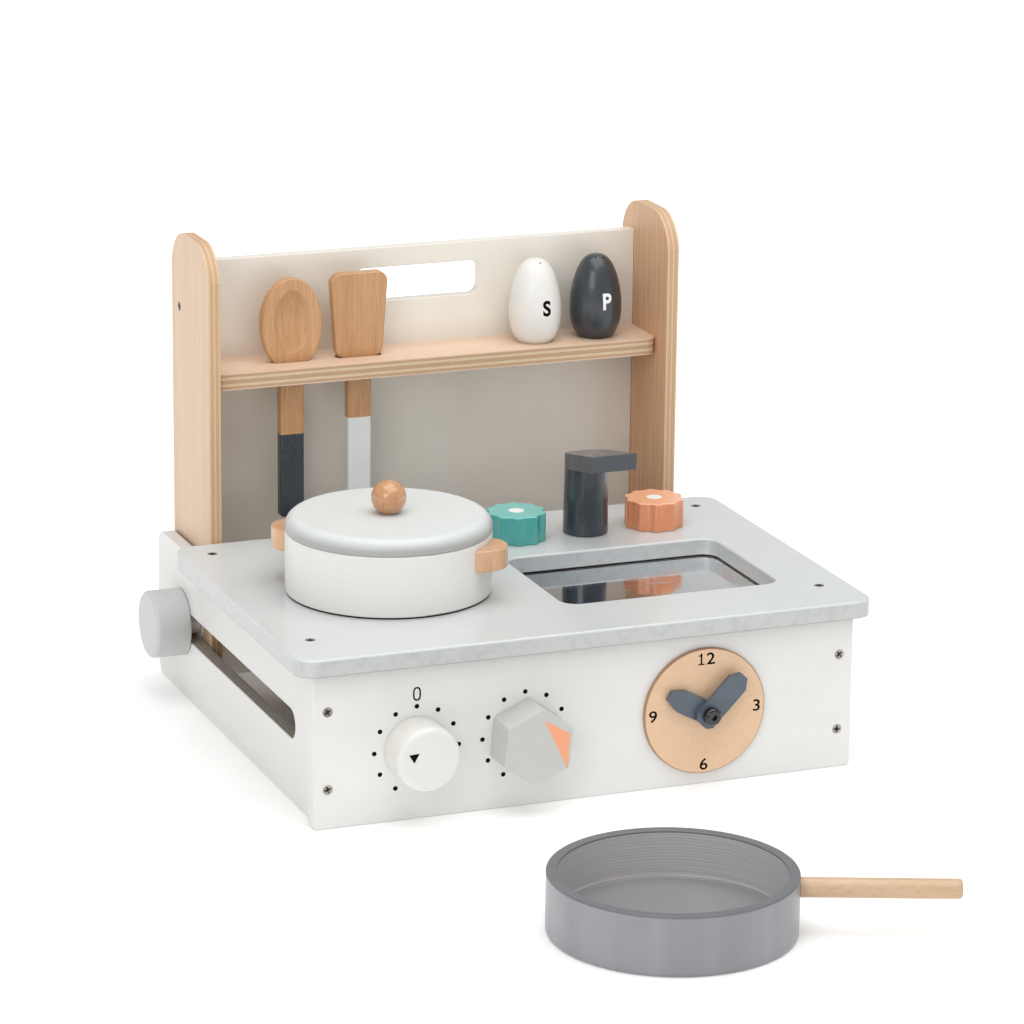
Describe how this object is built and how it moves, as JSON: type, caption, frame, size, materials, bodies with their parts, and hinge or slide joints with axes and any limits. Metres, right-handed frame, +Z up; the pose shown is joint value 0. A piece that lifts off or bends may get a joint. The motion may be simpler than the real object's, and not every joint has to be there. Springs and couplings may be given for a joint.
{
  "type": "play kitchen",
  "caption": "Tabletop toy kitchen with a tilting back frame and shelf, sink with tap, turning dials, a clock, a lidded pot, a pan, a spoon, a spatula and shakers.",
  "frame": {"origin": "on the floor, in the middle of the front panel's lower edge", "axes": "+X to the right seen from the front, +Y from the front panel to the back frame, +Z up"},
  "size_m": [0.4376, 0.691, 0.34],
  "materials": {
    "birch_plywood": "clear lacquer, layered edges",
    "beech": "clear lacquer",
    "white_board": "satin paint on fibreboard",
    "grey_board": "satin paint on fibreboard",
    "panel_board": "satin paint on plywood",
    "white_wood": "satin paint on turned wood",
    "light_grey_wood": "satin paint on turned wood",
    "mid_grey_wood": "satin paint on turned wood",
    "slate_wood": "satin paint on turned wood",
    "blue_grey_wood": "satin paint on plywood",
    "teal_wood": "satin paint on turned wood",
    "salmon_wood": "satin paint on turned wood",
    "steel": "zinc plated",
    "mirror_steel": "polished sheet",
    "black_steel": "black oxide",
    "black_foam": "closed cell",
    "nylon": "plain",
    "plug_plastic": "plain"
  },
  "bodies": {
    "cabinet": {"side_panel_left": "white_board", "side_panel_right": "white_board", "front_panel": "white_board", "worktop": "grey_board", "sink_gasket": "black_foam", "mirror_plate": "mirror_steel", "mirror_screws": "steel", "worktop_screws": "black_steel", "front_screws": "black_steel", "clock_face": "beech", "clock_washers": "steel", "clock_bolt": "black_steel", "clock_nut": "steel"},
    "back_frame": {"upright_left": "birch_plywood", "upright_right": "birch_plywood", "back_panel": "panel_board", "shelf": "birch_plywood", "panel_screws": "black_steel", "shelf_dowels": "beech", "insert_nuts": "steel", "spacer_washers": "nylon", "guide_sleeves": "nylon"},
    "lock_left": {"lock_knob_left": "light_grey_wood", "lock_stud_left": "steel"},
    "lock_right": {"lock_knob_right": "light_grey_wood", "lock_stud_right": "steel"},
    "tap": {"tap_post": "slate_wood", "tap_spout": "slate_wood", "tap_dowel": "beech", "tap_screw": "steel", "tap_washer": "steel"},
    "teal_tap_knob": {"teal_knob": "teal_wood", "teal_knob_plug": "plug_plastic", "teal_knob_bolt": "steel", "teal_knob_nut": "steel"},
    "salmon_tap_knob": {"salmon_knob": "salmon_wood", "salmon_knob_plug": "plug_plastic", "salmon_knob_bolt": "steel", "salmon_knob_nut": "steel"},
    "round_cooker_dial": {"round_dial": "white_wood", "round_dial_washer": "steel", "round_dial_screw": "steel"},
    "hex_cooker_dial": {"hex_dial": "light_grey_wood", "hex_dial_washer": "steel", "hex_dial_screw": "steel"},
    "hour": {"hour_hand": "blue_grey_wood"},
    "minute": {"minute_hand": "blue_grey_wood"},
    "pot": {"pot_body": "white_wood", "pot_foot": "black_foam", "pot_handles": "beech"},
    "pot_lid": {"lid": "light_grey_wood", "lid_ball": "beech"},
    "pan": {"pan_body": "mid_grey_wood", "pan_handle": "beech"},
    "spoon": {"spoon": "beech"},
    "spatula": {"spatula": "beech"},
    "salt": {"salt_shaker": "white_wood"},
    "pepper": {"pepper_shaker": "slate_wood"}
  },
  "joints": [
    {"name": "back_frame_tilt", "type": "hinge", "parent": "cabinet", "child": "back_frame", "pos_m": [0, 0.3, 0.0555], "axis": [-1, 0, 0], "range_deg": [0, 90]},
    {"name": "lock_left_turn", "type": "hinge", "parent": "back_frame", "child": "lock_left", "pos_m": [-0.2, 0.3, 0.0555], "axis": [-1, 0, 0], "range_deg": [0, 360]},
    {"name": "lock_right_turn", "type": "hinge", "parent": "back_frame", "child": "lock_right", "pos_m": [0.2, 0.3, 0.0555], "axis": [1, 0, 0], "range_deg": [0, 360]},
    {"name": "tap_swivel", "type": "hinge", "parent": "cabinet", "child": "tap", "pos_m": [0.0845, 0.2075, 0.15], "axis": [0, 0, 1], "continuous": true},
    {"name": "teal_knob_turn", "type": "hinge", "parent": "cabinet", "child": "teal_tap_knob", "pos_m": [0.0305, 0.2075, 0.13], "axis": [0, 0, 1], "continuous": true},
    {"name": "salmon_knob_turn", "type": "hinge", "parent": "cabinet", "child": "salmon_tap_knob", "pos_m": [0.1385, 0.2075, 0.13], "axis": [0, 0, 1], "continuous": true},
    {"name": "round_dial_turn", "type": "hinge", "parent": "cabinet", "child": "round_cooker_dial", "pos_m": [-0.125, -0.006, 0.05], "axis": [0, -1, 0], "continuous": true},
    {"name": "hex_dial_turn", "type": "hinge", "parent": "cabinet", "child": "hex_cooker_dial", "pos_m": [-0.047, -0.006, 0.05], "axis": [0, -1, 0], "continuous": true},
    {"name": "hour_hand_turn", "type": "hinge", "parent": "cabinet", "child": "hour", "pos_m": [0.0851, -0.012, 0.0534], "axis": [0, -1, 0], "continuous": true},
    {"name": "minute_hand_turn", "type": "hinge", "parent": "cabinet", "child": "minute", "pos_m": [0.0851, -0.017, 0.0534], "axis": [0, -1, 0], "continuous": true},
    {"name": "pot_lift", "type": "slide", "parent": "cabinet", "child": "pot", "axis": [0, 0, 1], "range_m": [0, 0.1]},
    {"name": "lid_lift", "type": "slide", "parent": "pot", "child": "pot_lid", "axis": [0, 0, 1], "range_m": [0, 0.06]},
    {"name": "pan_lift", "type": "slide", "parent": "cabinet", "child": "pan", "axis": [0, 0, 1], "range_m": [0, 0.1]},
    {"name": "spoon_lift", "type": "slide", "parent": "back_frame", "child": "spoon", "axis": [0, 0, 1], "range_m": [0, 0.125]},
    {"name": "spatula_lift", "type": "slide", "parent": "back_frame", "child": "spatula", "axis": [0, 0, 1], "range_m": [0, 0.125]},
    {"name": "salt_lift", "type": "slide", "parent": "back_frame", "child": "salt", "axis": [0, 0, 1], "range_m": [0, 0.08]},
    {"name": "pepper_lift", "type": "slide", "parent": "back_frame", "child": "pepper", "axis": [0, 0, 1], "range_m": [0, 0.08]}
  ]
}
